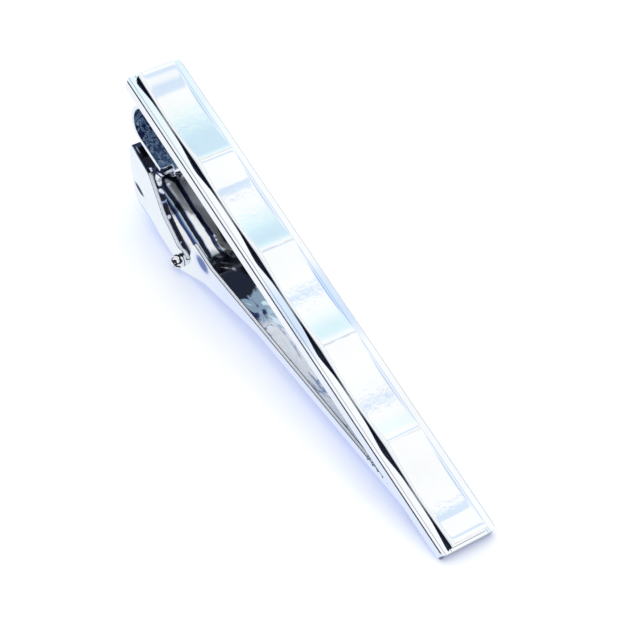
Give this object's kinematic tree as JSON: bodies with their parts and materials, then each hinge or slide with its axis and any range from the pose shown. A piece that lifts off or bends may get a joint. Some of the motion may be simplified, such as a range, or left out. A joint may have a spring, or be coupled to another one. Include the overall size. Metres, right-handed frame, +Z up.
{
  "type": "tie clip",
  "caption": "Polished chrome tie clip: a bar with a raised wavy front panel, and a sprung toothed lever behind it held by a folded bracket and a wire bail.",
  "frame": {"origin": "bottom centre of the clip's box, on the table that it lies on, as in the picture", "axes": "+X from the thumb end to the tip, +Y across the clip's width, +Z up from the table"},
  "size_m": [0.0562, 0.0088, 0.017],
  "materials": {
    "chrome": "mirror-polished plating with faint wipe marks",
    "solder": "satin solder line under the plating"
  },
  "bodies": {
    "bar": {"front_bar": "chrome", "wave_panel": "chrome", "solder_seam": "solder", "hinge_bracket": "chrome"},
    "bail": {"wire_bail": "chrome"},
    "lever": {"jaw_lever": "chrome"}
  },
  "joints": [
    {"name": "bail_swing", "type": "hinge", "parent": "bar", "child": "bail", "pos_m": [-0.02181, 0, 0.00797], "axis": [0, 1, 0], "range_deg": [0, 9], "stiffness_Nm_per_rad": 0.15, "springref_deg": -20.05},
    {"name": "lever_pivot", "type": "hinge", "parent": "bail", "child": "lever", "pos_m": [-0.01571, 0, 0.00125], "axis": [0, 1, 0], "range_deg": [0, 0.9]}
  ],
  "couplings": [
    {"joint": "lever_pivot", "follows": "bail_swing", "ratio": 0.1}
  ]
}
